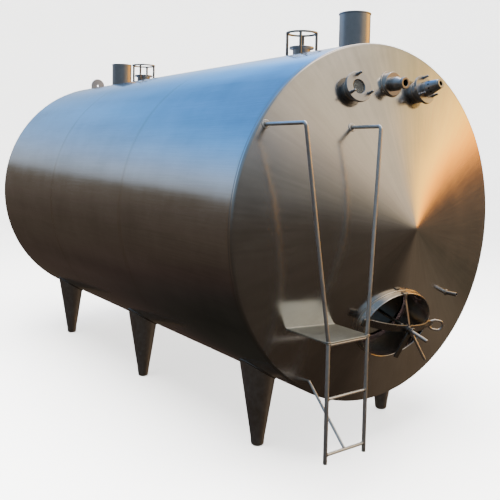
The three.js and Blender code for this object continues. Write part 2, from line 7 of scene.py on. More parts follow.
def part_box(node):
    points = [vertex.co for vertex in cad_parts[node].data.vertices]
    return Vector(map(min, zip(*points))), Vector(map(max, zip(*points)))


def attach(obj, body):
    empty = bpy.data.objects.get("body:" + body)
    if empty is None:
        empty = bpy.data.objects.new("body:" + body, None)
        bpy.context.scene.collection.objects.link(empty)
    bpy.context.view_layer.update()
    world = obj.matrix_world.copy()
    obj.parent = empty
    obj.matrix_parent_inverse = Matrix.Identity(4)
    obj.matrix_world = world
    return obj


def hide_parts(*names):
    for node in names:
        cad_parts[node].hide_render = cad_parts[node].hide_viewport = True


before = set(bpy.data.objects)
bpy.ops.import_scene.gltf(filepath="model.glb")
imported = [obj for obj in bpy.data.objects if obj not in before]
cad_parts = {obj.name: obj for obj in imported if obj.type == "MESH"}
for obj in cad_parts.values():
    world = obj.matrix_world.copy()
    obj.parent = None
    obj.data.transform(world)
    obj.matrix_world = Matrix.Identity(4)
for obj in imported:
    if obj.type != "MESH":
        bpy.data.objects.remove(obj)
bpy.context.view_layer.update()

# ---------------------------------------------------------------- camera
# Somebody standing three and a half metres from the front head, to its left, with a
# normal lens held at eye height and tipped down a little.
yaw, pitch, roll = 0.6256, -0.0699, 0.0182
eye = Vector((-2.5875, -4.1139, 1.5588))
ahead = Vector((
    math.sin(yaw) * math.cos(pitch), math.cos(yaw) * math.cos(pitch), math.sin(pitch),
))
level = Vector((math.cos(yaw), -math.sin(yaw), 0.0))
steep = level.cross(ahead)
camera_right = math.cos(roll) * level + math.sin(roll) * steep
camera_up = math.cos(roll) * steep - math.sin(roll) * level
lens = bpy.data.cameras.new("camera")
lens.sensor_width = 36.0
lens.lens = 48.617
lens.shift_y = -0.1
camera = bpy.data.objects.new("camera", lens)
camera.matrix_world = Matrix([
    [camera_right[i], camera_up[i], -ahead[i], eye[i]] for i in range(3)
] + [[0.0, 0.0, 0.0, 1.0]])
bpy.context.scene.collection.objects.link(camera)
bpy.context.scene.camera = camera


# ---------------------------------------------------------------- light of the yard
# Polished steel shows little but what stands round it. Low evening sun lies to the right
# over dark paving, pale cloud in front, a shaded wall on the left, blue sky behind.
def plug(place, value):
    """Sets a socket to a number or colour, or runs a wire into it."""
    if isinstance(value, Wire):
        value.tree.links.new(value.socket, place)
    elif isinstance(value, tuple) and place.type == "RGBA" and len(value) == 3:
        place.default_value = (*value, 1.0)
    else:
        place.default_value = value


class Wire:
    """One value between two nodes. Sums, products and powers of wires are Math nodes."""

    def __init__(self, tree, socket):
        self.tree, self.socket = tree, socket

    def math(self, kind, *others, first=None):
        made = self.tree.nodes.new("ShaderNodeMath")
        made.operation = kind
        values = (self, *others) if first is None else (first, self)
        for place, value in zip(made.inputs, values):
            plug(place, value)
        return Wire(self.tree, made.outputs[0])

    def __add__(self, other):
        return self.math("ADD", other)

    def __sub__(self, other):
        return self.math("SUBTRACT", other)

    def __rsub__(self, other):
        return self.math("SUBTRACT", first=other)

    def __mul__(self, other):
        return self.math("MULTIPLY", other)

    def __truediv__(self, other):
        return self.math("DIVIDE", other)

    def __rtruediv__(self, other):
        return self.math("DIVIDE", first=other)

    def __pow__(self, other):
        return self.math("POWER", other)

    __radd__, __rmul__ = __add__, __mul__

    def within(self, low, high):
        """0 below low and 1 above high, with an easy slope between."""
        made = self.tree.nodes.new("ShaderNodeMapRange")
        made.interpolation_type = "SMOOTHSTEP"
        for place, value in zip(made.inputs, (self, low, high)):
            plug(place, value)
        return Wire(self.tree, made.outputs[0])

    def blend(self, none, full):
        """The colour none where this wire is 0, and full where it is 1."""
        made = self.tree.nodes.new("ShaderNodeMix")
        made.data_type = "RGBA"
        for place, value in zip([made.inputs[k] for k in (0, 6, 7)], (self, none, full)):
            plug(place, value)
        return Wire(self.tree, made.outputs[2])


class Recipe:
    """A node tree as it is written down: node() adds one node and gives its outputs."""

    def __init__(self, tree):
        self.tree = tree
        tree.nodes.clear()

    def node(self, kind, settings=None, inputs=None):
        made = self.tree.nodes.new("ShaderNode" + kind)
        for name, value in (settings or {}).items():
            setattr(made, name, value)
        for name, value in (inputs or {}).items():
            plug(made.inputs[name], value)
        return [Wire(self.tree, output) for output in made.outputs]

    def noise(self, where, scale, detail=3.0, rough=0.5):
        """Soft cloud-like noise round 0.5 at a place."""
        inputs = {"Vector": where, "Scale": scale, "Detail": detail, "Roughness": rough}
        return self.node("TexNoise", None, inputs)[0]

    def ramp(self, value, stops):
        """A colour for each value, in straight runs between the stops."""
        made = self.tree.nodes.new("ShaderNodeValToRGB")
        elements = made.color_ramp.elements
        elements[0].position, elements[1].position = stops[0][0], stops[-1][0]
        elements[0].color, elements[1].color = (*stops[0][1], 1.0), (*stops[-1][1], 1.0)
        for place, colour in stops[1:-1]:
            elements.new(place).color = (*colour, 1.0)
        plug(made.inputs[0], value)
        return Wire(self.tree, made.outputs[0])

    def surface(self, inputs):
        """A Principled shader with these values, run into the material's output."""
        coat = self.node("BsdfPrincipled", None, inputs)[0]
        output = self.tree.nodes.new("ShaderNodeOutputMaterial")
        self.tree.links.new(coat.socket, output.inputs[0])


# For each side of the yard: degrees above level, and the light that comes from there.
front_light = [
    (-60, (0.028, 0.022, 0.017)), (-37, (0.047, 0.033, 0.024)), (-28, (0.059, 0.045, 0.033)),
    (-20, (0.070, 0.051, 0.037)), (-12, (0.080, 0.061, 0.045)), (-6, (0.101, 0.078, 0.059)),
    (0, (0.152, 0.122, 0.092)), (3, (0.26, 0.214, 0.158)), (9, (0.479, 0.386, 0.261)),
    (15, (0.84, 0.66, 0.487)), (22, (1.16, 0.95, 0.69)), (30, (0.95, 0.82, 0.64)),
    (38, (2.0, 1.75, 1.48)), (55, (3.9, 3.5, 3.1)), (75, (1.7, 1.6, 1.6)),
    (90, (0.588, 0.653, 0.763)),
]
left_light = [
    (-60, (0.028, 0.022, 0.017)), (-20, (0.050, 0.040, 0.032)), (-4, (0.070, 0.058, 0.048)),
    (6, (0.13, 0.145, 0.16)), (14, (0.20, 0.27, 0.36)), (35, (0.18, 0.28, 0.42)),
    (60, (0.30, 0.42, 0.58)), (90, (0.588, 0.653, 0.763)),
]
right_light = [
    (-60, (0.080, 0.059, 0.045)), (-25, (0.167, 0.122, 0.083)), (-15, (0.108, 0.085, 0.059)),
    (-6, (0.135, 0.098, 0.067)), (0, (0.19, 0.122, 0.08)), (3, (0.60, 0.26, 0.11)),
    (5.5, (2.35, 0.797, 0.109)), (8, (4.5, 1.5, 0.03)), (12, (4.42, 2.29, 0.315)),
    (17, (2.19, 1.35, 0.415)), (25, (1.06, 0.817, 0.428)), (40, (0.655, 0.599, 0.477)),
    (90, (0.588, 0.653, 0.763)),
]
rear_light = [
    (-60, (0.019, 0.016, 0.013)), (-34, (0.021, 0.019, 0.015)), (-30, (0.033, 0.026, 0.022)),
    (-25, (0.056, 0.038, 0.031)), (-18, (0.070, 0.051, 0.038)), (-10, (0.084, 0.063, 0.047)),
    (-2, (0.116, 0.090, 0.070)), (3.5, (0.150, 0.122, 0.095)), (5.8, (0.205, 0.185, 0.157)),
    (7.8, (0.46, 0.50, 0.55)), (12, (0.55, 0.70, 0.94)), (19, (0.36, 0.70, 1.27)),
    (26, (0.190, 0.635, 1.45)), (31, (0.136, 0.51, 1.29)), (45, (0.132, 0.43, 1.12)),
    (90, (0.227, 0.622, 1.42)),
]
brightest = 5.0  # a ramp's colours end at 1, so the light is divided by this, then given back
yard = bpy.data.worlds.new("yard")
bpy.context.scene.world = yard
yard.use_nodes = True
sky = Recipe(yard.node_tree)
gaze = sky.node("TexCoord")[0]
east, north, height = sky.node("SeparateXYZ", None, {0: gaze})
flat = (east * east + north * north + 0.0001) ** 0.5
cloud = sky.noise(gaze, 5.0, 4.0)
rise = (height + (cloud - 0.5) * 0.03) * 0.5 + 0.5
front_band, right_band, rear_band, left_band = [
    sky.ramp(rise, [
        (math.sin(math.radians(degrees)) / 2 + 0.5, tuple(c / brightest for c in colour))
        for degrees, colour in stops
    ])
    for stops in (front_light, right_light, rear_light, left_light)
]
behind = ((north - east) * 0.707 / flat).within(-0.25, 0.35)
shaded = ((east * -0.87 - north * 0.5) / flat).within(0.05, 0.55)
round_about = shaded.blend(behind.blend(front_band, rear_band), left_band)
# The low sun's glow, most of it hidden on its northern side.
sunset = ((east * 0.985 - north * 0.174) / flat).within(0.84, 0.975)
sunset = sunset * (1.0 - (north / flat).within(-0.12, 0.12) * 0.85)
round_about = sunset.blend(round_about, right_band)
haze = (east / flat).within(0.20, 0.60) * (north / flat).within(0.3, 0.8)
haze = haze * height.within(0.02, 0.10)
patches = sky.noise(gaze, 7.0, 2.0)
strength = brightest * (1.0 + haze * 0.9) * (1.0 + (patches - 0.5) * 0.7)
shine = sky.node("Background", None, {"Color": round_about, "Strength": strength})[0]
sky.tree.links.new(shine.socket, sky.tree.nodes.new("ShaderNodeOutputWorld").inputs[0])


# ---------------------------------------------------------------- floor and lamp
# A plain pale floor that curves up into a wall all round, and one wide soft lamp
# overhead. Neither shows in the steel, which reflects the yard.
def turned(profile, at, axes, sides=96):
    """Each (radius, height) of the profile goes once round the third axis:
    at + radius (cos a first + sin a second) + height third."""
    profile, axes = np.array(profile, float), np.array(axes, float)
    a = np.linspace(0.0, 2.0 * np.pi, sides + 1)
    ring = np.cos(a)[:, None] * axes[0] + np.sin(a)[:, None] * axes[1]
    outward = profile[:, 0, None, None] * ring
    return np.array(at, float) + outward + profile[:, 1, None, None] * axes[2]


UPRIGHT = np.eye(3)


def rounded(corners, radii, steps=4, ring=False):
    """A line through corners, where each corner is an arc of its own radius between
    its two straight runs, with a point before and after to keep the runs flat."""
    corners = np.array(corners, float)
    last = len(corners) - 1
    radii = np.broadcast_to(radii, last + 1)
    line = []
    for k, here in enumerate(corners):
        if radii[k] == 0 or (not ring and k in (0, last)):
            line.append(here[None])
            continue
        u = here - corners[k - 1]
        v = corners[(k + 1) % (last + 1)] - here
        u, v = u / np.linalg.norm(u), v / np.linalg.norm(v)
        turn = math.acos(np.clip(u @ v, -1.0, 1.0))
        if turn < 1e-3:
            line.append(here[None])
            continue
        inward = v - u * (u @ v)
        inward /= np.linalg.norm(inward)
        start = here - radii[k] * math.tan(turn / 2) * u
        a = np.linspace(0.0, turn, steps + 1)[:, None]
        arc = start + radii[k] * (np.sin(a) * u + (1 - np.cos(a)) * inward)
        ease = 0.4 * radii[k]
        line.append(np.vstack([start - ease * u, arc, arc[-1] + ease * v]))
    line = np.vstack(line)
    return np.vstack([line, line[:1]]) if ring else line


def mesh_of(name, parts):
    """One mesh from grids of points (rows, columns, 3). Equal points are merged, which
    closes seams and poles, and a skin that encloses less than nothing is turned over.
    A grid may come with its weld and shade value: 1 on welds, 0 elsewhere, and below 0
    for painted shade, -1 inside a bore."""
    all_points, all_quads, all_welds_and_shade, base = [], [], [], 0
    for part in parts:
        grid, weld_and_shade = part if isinstance(part, tuple) else (part, 0.0)
        rows, columns = grid.shape[:2]
        points, place = np.unique(np.round(grid.reshape(-1, 3), 7), axis=0, return_inverse=True)
        place = place.reshape(rows, columns)
        quads = np.stack([place[:-1, :-1], place[1:, :-1], place[1:, 1:], place[:-1, 1:]], -1)
        quads = quads.reshape(-1, 4)
        p = points[quads]
        facing = np.cross(p[:, 1], p[:, 2]) + np.cross(p[:, 2], p[:, 3])
        fan = np.einsum("ij,ij->i", p[:, 0], facing)
        if fan.sum() < 0:
            quads = quads[:, ::-1]
        all_points.append(points)
        all_quads.append(quads + base)
        welds = np.zeros(len(points))
        welds[place.ravel()] = np.broadcast_to(weld_and_shade, (rows, columns)).ravel()
        all_welds_and_shade.append(welds)
        base += len(points)
    points, quads = np.vstack(all_points), np.vstack(all_quads)
    twin = quads == np.roll(quads, -1, axis=1)
    four = quads[twin.sum(1) == 0]
    three = quads[twin.sum(1) == 1]
    three = three[~twin[twin.sum(1) == 1]].reshape(-1, 3)
    mesh = bpy.data.meshes.new(name)
    mesh.vertices.add(len(points))
    mesh.vertices.foreach_set("co", points.ravel())
    mesh.loops.add(four.size + three.size)
    mesh.loops.foreach_set("vertex_index", np.concatenate([four.ravel(), three.ravel()]))
    mesh.polygons.add(len(four) + len(three))
    starts = np.concatenate([
        np.arange(len(four)) * 4, four.size + np.arange(len(three)) * 3,
    ])
    mesh.polygons.foreach_set("loop_start", starts)
    mesh.update(calc_edges=True)
    weld_and_shade_of = mesh.attributes.new("weld_and_shade", "FLOAT", "POINT")
    weld_and_shade_of.data.foreach_set("value", np.concatenate(all_welds_and_shade))
    mesh.shade_smooth()
    mesh.set_sharp_from_angle(angle=math.radians(38))
    return mesh


def material(name):
    """A new material, and the recipe that its nodes are written in."""
    made = bpy.data.materials.new(name)
    made.use_nodes = True
    return made, Recipe(made.node_tree)


floor_line = rounded([(0, -0.002), (16, -0.002), (16, 14)], [0, 6, 0], 24)
floor_mesh = mesh_of("backdrop", [turned(floor_line, (0, 0, 0), UPRIGHT, 128)])
backdrop = bpy.data.objects.new("backdrop", floor_mesh)
backdrop.data.flip_normals()
backdrop.visible_glossy = False
backdrop.visible_shadow = False
paint, floor = material("pale_floor")
tone = floor.noise(floor.node("TexCoord")[3], 0.6).within(0.3, 0.7)
floor.surface({
    "Base Color": tone.blend((0.80, 0.80, 0.79), (0.83, 0.83, 0.82)), "Roughness": 0.85,
    "Emission Color": (1.0, 0.99, 0.97), "Emission Strength": 1.3,
})
backdrop.data.materials.append(paint)
bpy.context.scene.collection.objects.link(backdrop)
overhead = bpy.data.lights.new("overhead", "AREA")
overhead.shape = "DISK"
overhead.size = 9.0
overhead.energy = 5200.0
overhead.color = (1.0, 0.98, 0.95)
lamp_above = bpy.data.objects.new("overhead", overhead)
lamp_above.location = (-1.5, -1.5, 8.0)
lamp_above.visible_glossy = False
lamp_above.visible_camera = False
bpy.context.scene.collection.objects.link(lamp_above)


# ---------------------------------------------------------------- barrel
# The jacket round the insulation: three rolled courses of brushed stainless sheet,
# butt-welded to each other and to the heads, with each bead ground down in its groove.
def finish_of(name, colour, rough, play=1.0, grain=None, tint=None, depth=0.00002, wave=0.0,
              weld_colour=(0.60, 0.54, 0.46)):
    """A metal finish: colour and roughness vary with the grain, a wire round 0.5, and
    with soft smudges; welds are paler and heat-tinted, and where the mesh's value is below 0
    the colour goes towards near black, painted shade in bores and recesses. The grain
    stands up by the depth, and the sheet waves by far less than its thickness."""
    made, recipe = material(name)
    place = recipe.node("TexCoord")[3]
    smudge = recipe.noise(place, 3.5, 4.0, 0.6)
    fine = recipe.noise(place, 240.0, 2.0)
    weld_and_shade = recipe.node("Attribute", {"attribute_name": "weld_and_shade"})[2]
    on_weld = weld_and_shade.within(0.0, 1.0)
    streak = grain(recipe, place) if grain else recipe.noise(place, 40.0, 3.0)
    shade = (streak - 0.5) * 0.26 * play + (smudge - 0.5) * 0.20 * play + 0.5
    dark = tuple(c * 0.78 for c in colour)
    light = tuple(min(1.0, c * 1.16) for c in colour)
    body = shade.within(0.30, 0.70).blend(dark, light)
    if tint:
        body = tint(recipe, place, body)
    body = on_weld.blend(body, weld_colour)
    # Below 0 the colour goes towards near black: painted shade in bores and recesses.
    body = (weld_and_shade * -1.0).within(0.0, 1.0).blend(body, (0.012, 0.011, 0.010))
    worn = ((streak - 0.5) * 0.7 + (smudge - 0.5) * 0.8) * rough * play
    height = streak * depth + fine * depth * 0.12
    if wave:
        height = height + recipe.noise(place, 2.0, 1.0) * wave
    bump = recipe.node("Bump", None, {"Strength": 1.0, "Distance": 1.0, "Height": height})[0]
    recipe.surface({
        "Base Color": body, "Roughness": rough + worn + on_weld * 0.12, "Metallic": 1.0,
        "Normal": bump,
    })
    return made


def fitted(node, parts, finish, body="tank"):
    """The fine piece that stands for one CAD node: its mesh, finish and body."""
    piece = bpy.data.objects.new("fine_" + node, mesh_of("fine_" + node, parts))
    piece.data.materials.append(finish)
    bpy.context.scene.collection.objects.link(piece)
    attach(piece, body)
    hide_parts(node)
    return piece


wall, skirt = 0.08, 0.018  # the insulated wall, and the straight rim of each head
courses = ("front", "middle", "rear")
low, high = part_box("barrel_front_course")
barrel_radius = (high[0] - low[0]) / 2
axis_height = (high[2] + low[2]) / 2
head_low, head_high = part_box("front_head")
rim = head_high[1] - skirt
head_rise = rim - head_low[1]
head_slope = math.atan(head_rise / barrel_radius)
seams = [low[1]] + [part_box("barrel_" + place + "_course")[1][1] for place in courses]


def brushed_lengthwise(recipe, place):
    """Streaks much longer along the barrel than round it, coarse and fine."""
    coarse, thin = [
        recipe.node("VectorMath", {"operation": "MULTIPLY"}, {0: place, 1: (1.0, part, 1.0)})[0]
        for part in (0.07, 0.02)
    ]
    return recipe.noise(coarse, 9.0, 4.0) * 0.55 + recipe.noise(thin, 160.0, 3.0) * 0.45


def seam_tint(recipe, place, body):
    """A straw and blue band of heat along each round seam, broken up by noise."""
    along = recipe.node("SeparateXYZ", None, {0: place})[1]
    patch = recipe.noise(place, 7.0, 3.0)
    for seam in seams:
        near = 1.0 - (along - seam).math("ABSOLUTE").within(0.006, 0.034)
        body = (near * patch.within(0.25, 0.65) * 0.55).blend(body, (0.60, 0.55, 0.46))
        close = 1.0 - (along - seam).math("ABSOLUTE").within(0.003, 0.010)
        body = (close * 0.30).blend(body, (0.44, 0.46, 0.52))
    return body


jacket_steel = finish_of(
    "jacket_steel", (0.66, 0.665, 0.67), 0.155, 1.35, brushed_lengthwise, seam_tint,
    depth=0.00003, wave=0.0012)
ALONG = np.array([[1.0, 0, 0], [0, 0, 1.0], [0, 1.0, 0]])
axis_point = (0.0, 0.0, axis_height)
inside_radius = barrel_radius - wall
for place in courses:
    node = "barrel_" + place + "_course"
    low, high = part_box(node)
    section = [
        (barrel_radius, low[1]), (barrel_radius, high[1]),
        (inside_radius, high[1]), (inside_radius, low[1]),
    ]
    ends = [0.003 if place == "front" else 0.0005, 0.003 if place == "rear" else 0.0005, 0, 0]
    skins = [turned(rounded(section, ends, 4, ring=True), axis_point, ALONG, 320)]
    bead = turned([(0.001, 0.0)], (0, 0, 0), UPRIGHT, 12)[0, :, :2]
    bead = bead + [barrel_radius - 0.0011, high[1]]
    skins.append((turned(bead, axis_point, ALONG, 320), 1.0))
    fitted(node, skins, jacket_steel)


# ---------------------------------------------------------------- heads
# Two shallow cones spun from thicker sheet with a small knuckle at the rim. The front
# one is cut for the manhole's oval neck, which is welded in square to the slope.
def head_skin(radius):
    """Y of the front head's skin: straight from the rim to the apex, where it is
    eased by taking the square root of radius squared plus one centimetre squared."""
    return rim - head_rise * (1.0 - np.sqrt(radius ** 2 + 0.01 ** 2) / barrel_radius)


def seat_on_head(x, z):
    """A place on the front head and its three directions: level, up the slope, out."""
    radius = math.hypot(x, z)
    out = np.array([math.sin(head_slope) * x / radius, -math.cos(head_slope),
                    math.sin(head_slope) * z / radius])
    level = np.array([-out[1], out[0], 0.0])
    level /= np.linalg.norm(level)
    at = np.array([x, rim - head_rise * (1.0 - radius / barrel_radius), z + axis_height])
    return at, np.array([level, np.cross(out, level), out])


def brushed_from_apex(recipe, place):
    """Streaks that run from the apex outwards: noise on the direction round the axis,
    stretched along the radius."""
    x, y, z = recipe.node("SeparateXYZ", None, {0: place})
    up = z - axis_height
    radius = (x * x + up * up + 0.0001) ** 0.5
    around = recipe.node("CombineXYZ", None, {0: x / radius, 1: up / radius, 2: radius * 0.12})[0]
    return recipe.noise(around, 5.0, 3.0) * 0.45 + recipe.noise(around, 34.0, 4.0) * 0.55


def knuckle_tint(recipe, place, body):
    """A duller band where the rim was planished, and a patchy brown tint low on the head,
    a painted reflection of the dark ground.
    """
    x, y, z = recipe.node("SeparateXYZ", None, {0: place})
    up = z - axis_height
    radius = (x * x + up * up + 0.0001) ** 0.5
    edge = radius.within(barrel_radius - 0.035, barrel_radius - 0.008)
    body = (edge * 0.35).blend(body, (0.58, 0.57, 0.55))
    # Painted reflection of the dark ground: brown patches, heavier towards the bottom.
    patchy = recipe.noise(place, 2.2, 5.0).within(0.42, 0.72) * (1.0 - up.within(-0.6, 0.1))
    return (patchy * 0.35).blend(body, (0.40, 0.35, 0.29))


head_steel = finish_of(
    "head_steel", (0.68, 0.665, 0.64), 0.175, 1.2, brushed_from_apex, knuckle_tint,
    depth=0.00002, wave=0.004)
manhole_drop = -0.491  # the manhole's middle, below the barrel's axis
manhole_at, manhole_axes = seat_on_head(0.0, manhole_drop)
neck_half = np.array([0.244, 0.177])
skin_depth = wall + 0.003


def projected_on_head(points, out):
    """Slides points along a direction until they lie on the head's skin."""
    for _ in range(30):
        gap = points[..., 1] - head_skin(np.hypot(points[..., 0], points[..., 2] - axis_height))
        points = points + (gap / math.cos(head_slope))[..., None] * out
    return points


# The head's grid runs along spokes from the manhole's hole out to the knuckle, round
# that and its skirt, and back inside to the hole.
a = np.linspace(0, 2 * np.pi, 385)
oval = np.stack([np.cos(a), np.sin(a)], -1)
hole = projected_on_head(
    manhole_at + (oval * (neck_half + 0.0003)) @ manhole_axes[:2], manhole_axes[2])
centre = np.array([0.0, manhole_drop])
spoke = hole[:, [0, 2]] - [0, axis_height] - centre
spoke_length = np.linalg.norm(spoke, axis=1)
spoke /= spoke_length[:, None]
knuckle_from = barrel_radius - 0.0125
toward = spoke @ centre
reach = -toward + np.sqrt(toward ** 2 - centre @ centre + knuckle_from ** 2)
s = np.linspace(0, 1, 110)[:, None]
flat_place = centre + (spoke_length + s * (reach - spoke_length))[..., None] * spoke
cone = np.concatenate([
    flat_place[..., :1],
    head_skin(np.linalg.norm(flat_place, axis=-1))[..., None],
    flat_place[..., 1:] + axis_height,
], -1)
direction = flat_place[-1] / knuckle_from
knuckle = rounded([
    (knuckle_from, head_skin(knuckle_from)), (barrel_radius, rim), (barrel_radius, rim + skirt),
    (inside_radius, rim + skirt),
], [0, 0.012, 0.003, 0], 8)[1:]
turn_in = np.stack([
    knuckle[:, 0, None] * direction[:, 0], knuckle[:, 1, None] + 0 * direction[:, 0],
    knuckle[:, 0, None] * direction[:, 1] + axis_height,
], -1)
hole_inside = hole - skin_depth * manhole_axes[2]
t = np.linspace(0, 1, 12)[:, None, None]
inner = turn_in[-1] * (1 - t) + hole_inside * t
inner_radius = np.hypot(inner[1:, :, 0], inner[1:, :, 2] - axis_height)
inner[1:, :, 1] = head_skin(inner_radius) + skin_depth
head_grid = np.concatenate([cone, turn_in, inner[1:], cone[:1]])


def tube(path, radius, sides=20, loop=False):
    """A round bar: a circle carried along a path that lies in one plane, its axes the
    plane's normal and the cross product of that with the run. Open ends are eased."""
    path = np.array(path, float)
    radius = np.broadcast_to(radius, len(path))[:, None, None]
    normal = np.linalg.svd(path - path.mean(0))[2][2]
    run = np.roll(path, -1, 0) - np.roll(path, 1, 0) if loop else np.gradient(path, axis=0)
    run = run / np.linalg.norm(run, axis=1)[:, None]
    side = np.cross(run, normal)
    side /= np.linalg.norm(side, axis=1)[:, None]
    a = np.linspace(0, 2 * np.pi, sides + 1)[:, None]
    ring = np.cos(a) * side[:, None] + np.sin(a) * np.cross(side, run)[:, None]
    skin = path[:, None] + radius * ring
    if loop:
        return np.concatenate([skin, skin[:1]])
    ease = 0.35 * radius[[0, -1], 0, 0]
    a = np.linspace(0, np.pi / 2, 5)[:, None, None]
    ends = []
    for k, way in ((0, 1), (-1, -1)):
        inset = way * ease[k] * (1 - np.cos(a))
        wide = radius[k] - ease[k] * (1 - np.sin(a))
        ends.append(path[k] + run[k] * inset + wide * ring[k])
    poles = [np.broadcast_to(path[k], (1, sides + 1, 3)) for k in (0, -1)]
    return np.concatenate([poles[0], ends[0], skin[1:-1], ends[1][::-1], poles[1]])


def circle(at, radius, count, axes=UPRIGHT, start=0.0):
    """Points once round: at + radius (cos a first axis + sin a second axis)."""
    a = start + np.linspace(0, 2 * np.pi, count + 1)[:-1, None]
    return np.array(at) + radius * (np.cos(a) * axes[0] + np.sin(a) * axes[1])


def bead_round(path, size, ripples):
    """A weld bead along a closed path, with the ripples that the welder's hand leaves."""
    a = np.linspace(0, 2 * np.pi * ripples, len(path))
    return tube(path, size * (1 + 0.10 * np.sin(a)), 10, loop=True), 1.0


fitted("front_head", [head_grid, bead_round(hole[:-1], 0.0055, 130)], head_steel)
rear_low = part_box("rear_head")[0]
rear_rim = rear_low[1] + skirt
radii = np.linspace(0, knuckle_from, 60)
rear_line = np.stack([radii, rear_rim + (rim - head_skin(radii))], -1)
rear_knuckle = rounded([
    (knuckle_from, rear_rim + rim - head_skin(knuckle_from)), (barrel_radius, rear_rim),
    (barrel_radius, rear_low[1]), (inside_radius, rear_low[1]),
    (0, rear_rim + head_rise - skin_depth),
], [0, 0.012, 0.003, 0, 0], 8)[1:]
rear_skin = turned(np.vstack([rear_line, rear_knuckle]), axis_point, ALONG, 320)
fitted("rear_head", [rear_skin], head_steel)


# ---------------------------------------------------------------- legs
# Six legs rolled from thicker plate into slim cones, dull and weathered, with a
# small turned-in foot. Each is cut to the barrel's round and welded all round.
leg_steel = finish_of("leg_steel", (0.66, 0.65, 0.63), 0.38, weld_colour=(0.30, 0.28, 0.25))
foot_radius, foot_round, foot_height = 0.033, 0.012, 0.05
growth, leg_out = 0.157, 0.474  # widening for each metre up, and distance from the middle
a = np.linspace(0, 2 * np.pi, 65)
for side, x in (("left", -leg_out), ("right", leg_out)):
    for place in courses:
        node = "leg_" + side + "_" + place
        low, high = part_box(node)
        y = (low[1] + high[1]) / 2
        top = np.full(65, 0.4)
        for _ in range(25):
            out = x + (foot_radius + growth * (top - foot_round)) * np.cos(a)
            top = axis_height - np.sqrt((barrel_radius + 0.0003) ** 2 - out ** 2)
        foot = rounded([
            (0, 0), (foot_radius, 0), (foot_radius + growth * foot_height, foot_height),
        ], [0, foot_round, 0], 6)
        rows = [turned(foot[:-1], (x, y, 0), UPRIGHT, 64)]
        s = np.linspace(0, 1, 20)[:, None]
        z = foot_height + s * (top - foot_height)
        wide = foot_radius + growth * (z - foot_round)
        rows.append(np.stack([x + wide * np.cos(a), y + wide * np.sin(a), z], -1))
        joint = rows[-1][-1]
        crown = np.array([x, y, axis_height - math.sqrt(barrel_radius ** 2 - x ** 2) + 0.004])
        rows.append((joint * 0.5 + crown * 0.5 + [0, 0, 0.003])[None])
        rows.append(np.broadcast_to(crown + [0, 0, 0.004], (1, 65, 3)))
        seal = bead_round(joint[:-1] - [0, 0, 0.001], 0.005, 40)
        fitted(node, [np.concatenate(rows), seal], leg_steel)


# ---------------------------------------------------------------- ladder and platform
# A short ladder of stainless tube: two posts, two rungs and a front bar, a brace back
# to the head, and a small platform plate. Two handrails rise from it and bend back
# to pads on the head.
frame_steel = finish_of("frame_steel", (0.90, 0.86, 0.82), 0.44, 0.6, depth=0.00001)
plate_steel = finish_of("plate_steel", (0.58, 0.60, 0.54), 0.50, weld_colour=(0.80, 0.78, 0.70))
post_x, post_y = {"left": -0.6232, "right": -0.3872}, -1.9915
plate_low, plate_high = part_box("platform_plate")
for side, x in post_x.items():
    low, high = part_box("ladder_post_" + side)
    post = tube([
        (x, post_y, low[2]), (x, post_y, low[2] + 0.02), (x, post_y, high[2]),
    ], 0.0095, 24)
    collar = bead_round(circle((x, post_y, high[2] - 0.002), 0.0088, 32), 0.0022, 9)
    fitted("ladder_post_" + side, [post, collar], frame_steel)
for node in ("platform_front_bar", "ladder_rung_upper", "ladder_rung_lower"):
    low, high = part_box(node)
    z = (low[2] + high[2]) / 2
    stations = (low[0], low[0] + 0.02, high[0] - 0.02, high[0])
    bar = tube([(x, post_y, z) for x in stations], 0.007, 20)
    welds = [
        bead_round(circle((x, post_y, z), 0.0072, 16, UPRIGHT[1:]), 0.0026, 7)
        for x in (low[0] + 0.002, high[0] - 0.002)
    ]
    fitted(node, [bar, *welds], frame_steel)

# The plate: a half-round front edge and a flat top and underside, carried from side to
# side, with the back cut to the head's skin.
u = np.linspace(plate_low[0], plate_high[0], 40)[:, None]
v = np.linspace(0, 1, 24)
half = (plate_high[2] - plate_low[2]) / 2
middle = (plate_high[2] + plate_low[2]) / 2
back = head_skin(np.hypot(u, middle - axis_height)) - 0.0004
front_y = plate_low[1] + half
edge = half * np.linspace(-1, 1, 9)
top = front_y + (back - front_y) * v
bull_nose = front_y - np.sqrt(np.maximum(half ** 2 - edge ** 2, 0)) + 0 * u
depth = np.concatenate([bull_nose, top, top[:, ::-1]], 1)
lift = np.concatenate([edge, np.full(24, half), np.full(24, -half)])
plate = np.stack([u + 0 * depth, depth, middle + lift + 0 * depth], -1)
plate = np.concatenate([plate, plate[:, :1]], 1)
ends = [np.broadcast_to(plate[k].mean(0), (1, plate.shape[1], 3)) for k in (0, -1)]
plate = np.concatenate([ends[0], plate, ends[1]])
back_line = np.stack([u[:, 0], back[:, 0] - 0.002, np.full(40, plate_high[2] + 0.001)], -1)
under_line = back_line * [1, 1, 0] + [0, 0, plate_low[2] - 0.001]
ripples = 1 + 0.12 * np.sin(np.linspace(0, 160, 40))
fitted("platform_plate", [
    plate, (tube(back_line, 0.0032 * ripples, 10), 1.0), (tube(under_line, 0.003, 8), 1.0),
], plate_steel)

